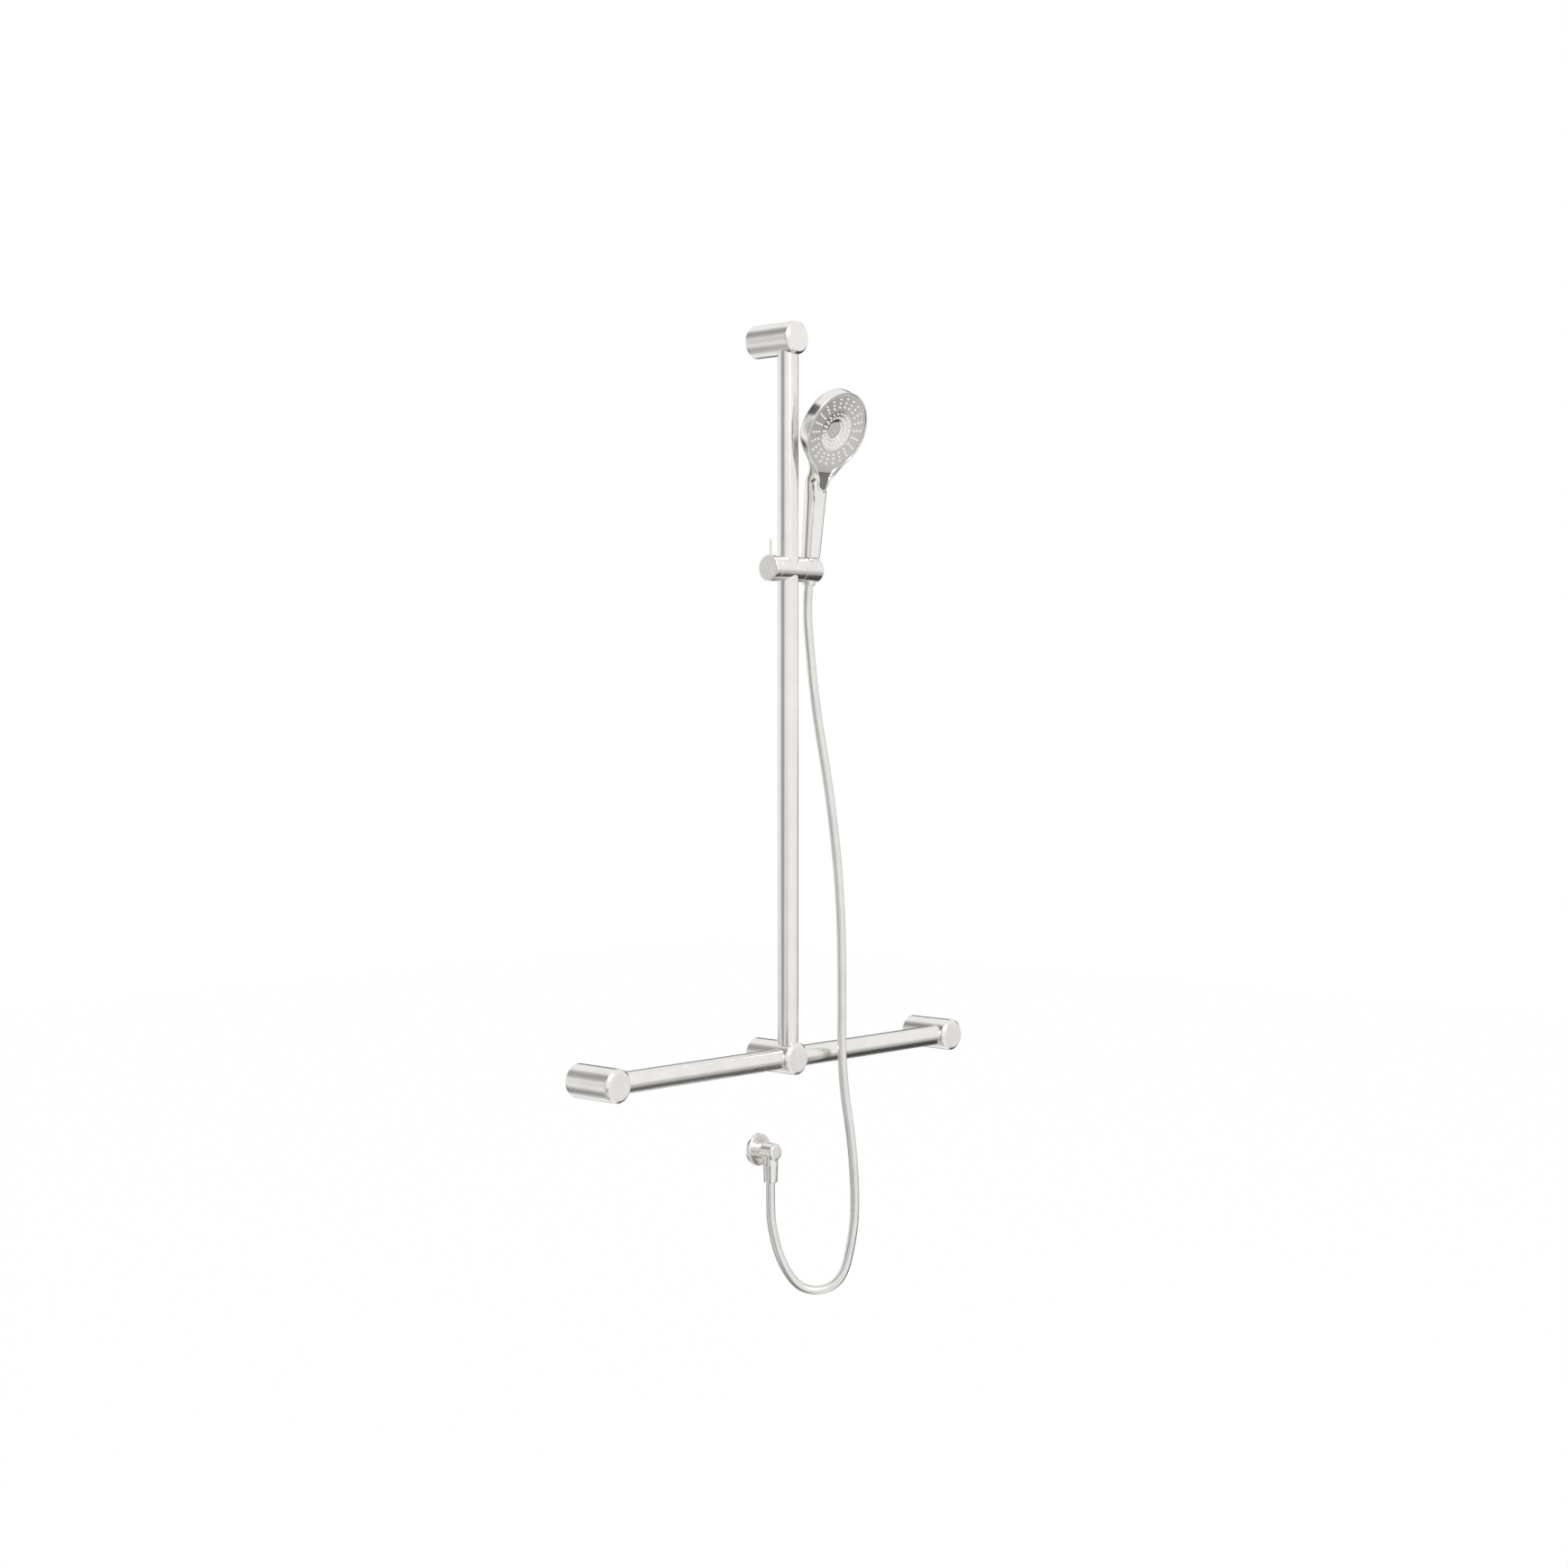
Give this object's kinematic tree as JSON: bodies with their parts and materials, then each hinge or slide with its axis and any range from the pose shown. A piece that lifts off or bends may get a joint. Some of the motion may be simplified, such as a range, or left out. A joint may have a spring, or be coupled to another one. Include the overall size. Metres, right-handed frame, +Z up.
{
  "type": "shower slide rail",
  "caption": "Inverted-T shower rail set: riser on a horizontal grab rail, round wall posts, clamping slider with pin lever, tilting cone holder, hand shower, hose and wall outlet.",
  "frame": {"origin": "on the wall plane, at the axis of the centre post where the riser meets the horizontal rail", "axes": "+X along the wall to the right, +Y into the wall, +Z up along the riser"},
  "size_m": [0.8, 0.1478, 1.5012],
  "materials": {
    "brushed_nickel": "fine brushed nickel",
    "plated_plastic": "brushed nickel plating on moulded plastic",
    "hose_skin": "smooth satin nickel hose",
    "screw_steel": "plain stainless",
    "plate_steel": "turned stainless",
    "white_plastic": "moulded",
    "grey_plastic": "satin metal-effect grey",
    "white_silicone": "soft matt silicone",
    "dark_plastic": "dark satin",
    "black_rubber": "matt"
  },
  "bodies": {
    "riser": {"vertical_rail": "brushed_nickel", "top_post": "brushed_nickel", "top_wall_plate": "plate_steel", "top_post_grub_screw": "screw_steel", "top_rail_lock_screw": "screw_steel", "centre_post": "brushed_nickel", "centre_wall_plate": "plate_steel", "centre_post_grub_screw": "screw_steel", "centre_rail_lock_screw": "screw_steel", "riser_foot_plug": "white_plastic", "riser_foot_screw": "screw_steel", "outlet_flange": "brushed_nickel", "outlet_flange_seal": "black_rubber", "outlet_elbow": "brushed_nickel", "outlet_check_valve": "white_plastic", "outlet_hose_washer": "black_rubber", "hose_outlet_nut": "brushed_nickel", "hose": "hose_skin"},
    "grab_rail": {"horizontal_rail": "brushed_nickel", "left_post": "brushed_nickel", "left_wall_plate": "plate_steel", "left_post_grub_screw": "screw_steel", "left_rail_lock_screw": "screw_steel", "right_post": "brushed_nickel", "right_wall_plate": "plate_steel", "right_post_grub_screw": "screw_steel", "right_rail_lock_screw": "screw_steel"},
    "slider_liner": {"slider_liner": "white_plastic"},
    "slider": {"slider_body": "brushed_nickel", "clamp_pad": "white_plastic", "holder_pivot_bolt": "screw_steel", "holder_friction_washer": "white_plastic", "holder_spring_washer": "screw_steel"},
    "clamp": {"clamp_knob": "brushed_nickel", "lever_pin": "brushed_nickel", "clamp_stud": "screw_steel"},
    "handset": {"handset_holder": "brushed_nickel", "handset_shell": "plated_plastic", "handset_waterway": "white_plastic", "handset_inlet_washer": "black_rubber", "hose_cone_nut": "brushed_nickel", "spray_plate": "grey_plastic", "nozzle_mat": "white_silicone", "spray_centre_ring": "plated_plastic", "spray_centre_disc": "grey_plastic", "face_seal": "black_rubber", "button_return_dome": "black_rubber"},
    "button": {"mode_button": "dark_plastic", "selector_spool": "white_plastic"}
  },
  "joints": [
    {"name": "grab_rail_slide", "type": "slide", "parent": "riser", "child": "grab_rail", "axis": [1, 0, 0], "range_m": [-0.32, 0.32]},
    {"name": "slider_slide", "type": "slide", "parent": "riser", "child": "slider_liner", "axis": [0, 0, 1], "range_m": [-0.65, 0.29], "deforming": ["hose"]},
    {"name": "slider_swivel", "type": "hinge", "parent": "slider_liner", "child": "slider", "pos_m": [0, -0.066, 0.75], "axis": [0, 0, 1], "range_deg": [-40, 40], "deforming": ["hose"]},
    {"name": "clamp_lever", "type": "hinge", "parent": "slider", "child": "clamp", "pos_m": [-0.038, -0.066, 0.75], "axis": [1, 0, 0], "range_deg": [0, 90]},
    {"name": "holder_tilt", "type": "hinge", "parent": "slider", "child": "handset", "pos_m": [0.026, -0.066, 0.75], "axis": [1, 0, 0], "range_deg": [-2, 50], "deforming": ["hose"]},
    {"name": "button_press", "type": "slide", "parent": "handset", "child": "button", "axis": [0, 0.9184, 0.3955], "range_m": [0, 0.0025], "stiffness_N_per_m": 1000, "springref_m": -0.001, "deforming": ["button_return_dome"]}
  ]
}
